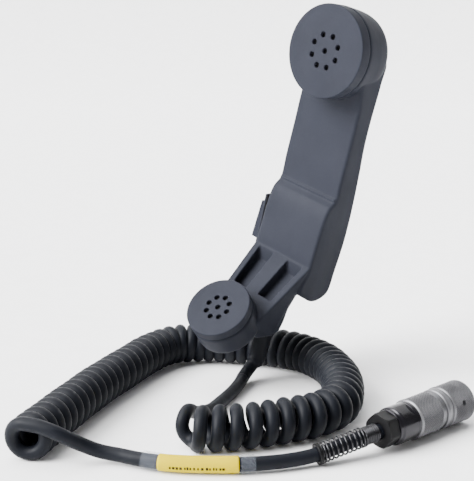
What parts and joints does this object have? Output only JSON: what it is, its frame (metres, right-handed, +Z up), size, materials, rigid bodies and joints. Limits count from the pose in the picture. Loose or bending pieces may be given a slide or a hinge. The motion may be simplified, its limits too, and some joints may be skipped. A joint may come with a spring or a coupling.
{
  "type": "push-to-talk telephone handset",
  "caption": "Push-to-talk telephone handset with round ear and mouth caps, a side key, a curly cord and a knurled bayonet plug.",
  "frame": {"origin": "on the surface the handset and its cord rest on, under the middle of the handset", "axes": "+Z up, along the leaning handset; -Y out of the earpiece's face; +X towards the plug"},
  "size_m": [0.2104, 0.2292, 0.2285],
  "materials": {
    "plastic": "moulded, matte",
    "rubber": "satin",
    "gasket": "matte",
    "membrane": "woven",
    "black_metal": "satin black",
    "steel": "brushed",
    "board": "moulded insulation",
    "wire": "insulated",
    "label": "printed strip",
    "clear_sleeve": "clear tube",
    "dark_metal": "gloss dark grey",
    "anodised": "grey anodised, satin",
    "brass": "plated contact"
  },
  "bodies": {
    "handset": {"handset_body": "plastic", "ear_cap": "plastic", "mouth_cap": "plastic", "ptt_bezel": "plastic", "strain_relief": "rubber", "cord_lead": "rubber", "cord_coil": "rubber", "cord_tail": "rubber", "ear_gasket": "gasket", "mouth_gasket": "gasket", "ptt_seal": "gasket", "gland_grommet": "gasket", "face_seal": "gasket", "receiver_membrane": "membrane", "mouth_membrane": "membrane", "receiver_capsule": "black_metal", "microphone_capsule": "black_metal", "switch_body": "black_metal", "bend_spring": "black_metal", "gland_nut": "black_metal", "ptt_bezel_screw_upper": "steel", "ptt_bezel_screw_lower": "steel", "ptt_spring": "steel", "switch_bracket": "steel", "switch_screw_upper": "steel", "switch_screw_lower": "steel", "wave_spring": "steel", "retaining_ring": "steel", "terminal_block": "board", "contact_insert": "board", "receiver_wires": "wire", "switch_wires": "wire", "microphone_wires": "wire", "cord_wires": "wire", "marker_label": "label", "marker_sleeve": "clear_sleeve", "clamp_body": "dark_metal", "rear_ring": "anodised", "plug_shell": "anodised", "contact_pin_1": "brass", "contact_pin_2": "brass", "contact_pin_3": "brass", "contact_pin_4": "brass", "contact_pin_5": "brass", "spring_collar": "black_metal", "spring_ferrule": "black_metal"},
    "ptt_key": {"ptt_key": "rubber", "ptt_stem": "plastic"},
    "switch_button": {"switch_button": "rubber"},
    "coupling_ring": {"coupling_ring": "anodised"}
  },
  "joints": [
    {"name": "ptt_press", "type": "slide", "parent": "handset", "child": "ptt_key", "axis": [0.9728, 0, -0.2317], "range_m": [0, 0.0025], "stiffness_N_per_m": 400, "springref_m": -0.0008, "deforming": ["ptt_spring"]},
    {"name": "switch_press", "type": "slide", "parent": "handset", "child": "switch_button", "axis": [0.9728, 0, -0.2317], "range_m": [0, 0.002]},
    {"name": "coupling_turn", "type": "hinge", "parent": "handset", "child": "coupling_ring", "pos_m": [0.10283, -0.0381, 0.0119], "axis": [0.055, 0.9985, 0], "range_deg": [-90, 0]}
  ],
  "couplings": [
    {"joint": "switch_press", "follows": "ptt_press", "ratio": 0.8}
  ]
}
